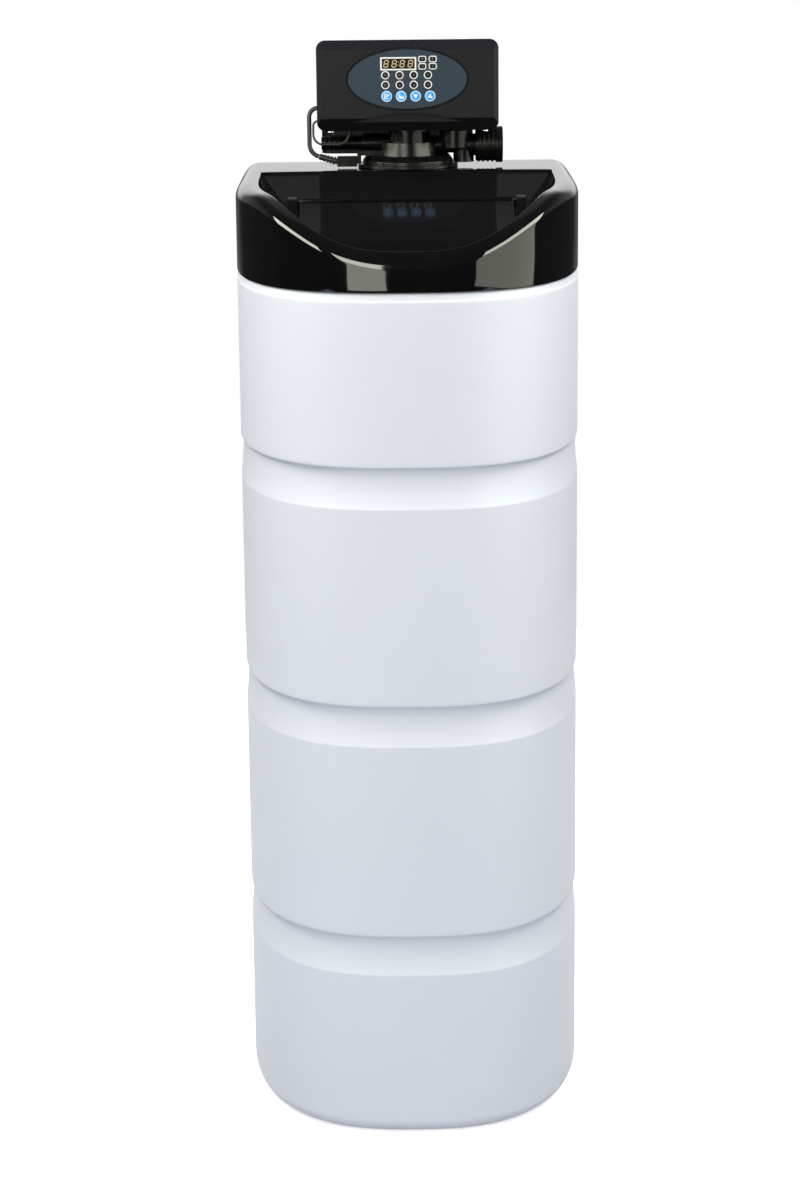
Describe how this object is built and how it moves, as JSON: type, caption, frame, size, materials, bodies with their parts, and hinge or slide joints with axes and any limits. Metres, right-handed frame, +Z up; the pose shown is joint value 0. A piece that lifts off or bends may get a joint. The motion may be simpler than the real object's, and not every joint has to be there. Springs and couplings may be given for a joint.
{
  "type": "water softener",
  "caption": "Cabinet water softener: grooved white salt cabinet, glossy black cover with a sunken hinged salt flap, and an electronic control head on the neck of the vessel inside.",
  "frame": {"origin": "on the floor, under the middle of the cabinet", "axes": "+X to the right of someone facing the display, -Y to the front, +Z up"},
  "size_m": [0.335, 0.532, 1.0391],
  "materials": {
    "white_shell": "satin moulded",
    "black_gloss": "polished",
    "black_satin": "fine grain",
    "black_rubber": "matt",
    "panel_grey": "smooth matt",
    "window": "polished, dark",
    "lamp": "polished",
    "button_blue": "polished",
    "steel": "zinc plated",
    "vessel_grey": "wound composite",
    "resin": "loose beads",
    "ceramic": "lapped",
    "gear_plastic": "moulded",
    "board": "lacquered",
    "blue_inner": "moulded",
    "white_inner": "moulded"
  },
  "bodies": {
    "cabinet": {"cabinet_shell": "white_shell", "top_cover": "black_gloss", "hinge_ears": "black_gloss", "flap_hinge_pins": "steel", "overflow_elbow": "black_satin", "overflow_gasket": "black_rubber", "overflow_nut": "black_satin", "pressure_vessel": "vessel_grey", "vessel_boot": "black_satin", "resin_bed": "resin", "riser_tube": "white_inner", "lower_distributor": "white_inner", "upper_distributor": "white_inner", "tank_adapter": "black_satin", "neck_seal": "black_rubber", "valve_body": "black_satin", "disc_housing": "black_satin", "fixed_disc": "ceramic", "valve_cap": "black_satin", "motor_bracket": "steel", "gear_motor": "steel", "outlet_stub": "black_satin", "turbine_cage": "white_inner", "inlet_stub": "black_satin", "drain_stub": "black_satin", "drain_flow_disc": "white_inner", "brine_fitting": "gear_plastic", "brine_well": "white_inner", "brine_well_cap": "white_inner", "pickup_tube": "white_inner", "air_check": "white_inner", "float_stops": "white_inner", "safety_valve": "white_inner", "salt_grid": "white_inner", "head_base": "black_satin", "head_cover": "black_satin", "control_panel": "panel_grey", "display_window": "window", "display_module": "black_satin", "indicator_lamps": "lamp", "circuit_board": "board", "tact_switches": "black_satin", "power_inlet": "black_satin", "cover_screws": "steel", "sensor_plug": "black_satin", "sensor_boot": "black_rubber", "lead_grommets": "black_rubber", "sensor_lead": "black_rubber", "signal_lead": "black_rubber"},
    "flap": {"salt_flap": "black_gloss"},
    "program": {"program_button": "button_blue"},
    "manual": {"manual_button": "button_blue"},
    "down": {"down_button": "button_blue"},
    "up": {"up_button": "button_blue"},
    "rotor": {"moving_disc": "ceramic", "drive_shaft": "gear_plastic", "drive_gear": "gear_plastic"},
    "pinion": {"motor_pinion": "gear_plastic"},
    "turbine": {"outlet_turbine": "blue_inner"},
    "float": {"brine_float": "blue_inner"}
  },
  "joints": [
    {"name": "flap_hinge", "type": "hinge", "parent": "cabinet", "child": "flap", "pos_m": [0, 0.006, 0.884], "axis": [-1, 0, 0], "range_deg": [0, 80]},
    {"name": "program_press", "type": "slide", "parent": "cabinet", "child": "program", "axis": [0, 1, 0], "range_m": [0, 0.0008], "stiffness_N_per_m": 1500},
    {"name": "manual_press", "type": "slide", "parent": "cabinet", "child": "manual", "axis": [0, 1, 0], "range_m": [0, 0.0008], "stiffness_N_per_m": 1500},
    {"name": "down_press", "type": "slide", "parent": "cabinet", "child": "down", "axis": [0, 1, 0], "range_m": [0, 0.0008], "stiffness_N_per_m": 1500},
    {"name": "up_press", "type": "slide", "parent": "cabinet", "child": "up", "axis": [0, 1, 0], "range_m": [0, 0.0008], "stiffness_N_per_m": 1500},
    {"name": "gear_spin", "type": "hinge", "parent": "cabinet", "child": "rotor", "pos_m": [0.002, 0.1, 0.99], "axis": [0, 0, 1], "continuous": true},
    {"name": "pinion_spin", "type": "hinge", "parent": "cabinet", "child": "pinion", "pos_m": [-0.043, 0.1, 0.99], "axis": [0, 0, 1], "continuous": true},
    {"name": "turbine_spin", "type": "hinge", "parent": "cabinet", "child": "turbine", "pos_m": [0.0785, 0.1, 0.93], "axis": [1, 0, 0], "continuous": true},
    {"name": "float_slide", "type": "slide", "parent": "cabinet", "child": "float", "axis": [0, 0, 1], "range_m": [0, 0.15]}
  ],
  "couplings": [
    {"joint": "pinion_spin", "follows": "gear_spin", "ratio": -4}
  ]
}
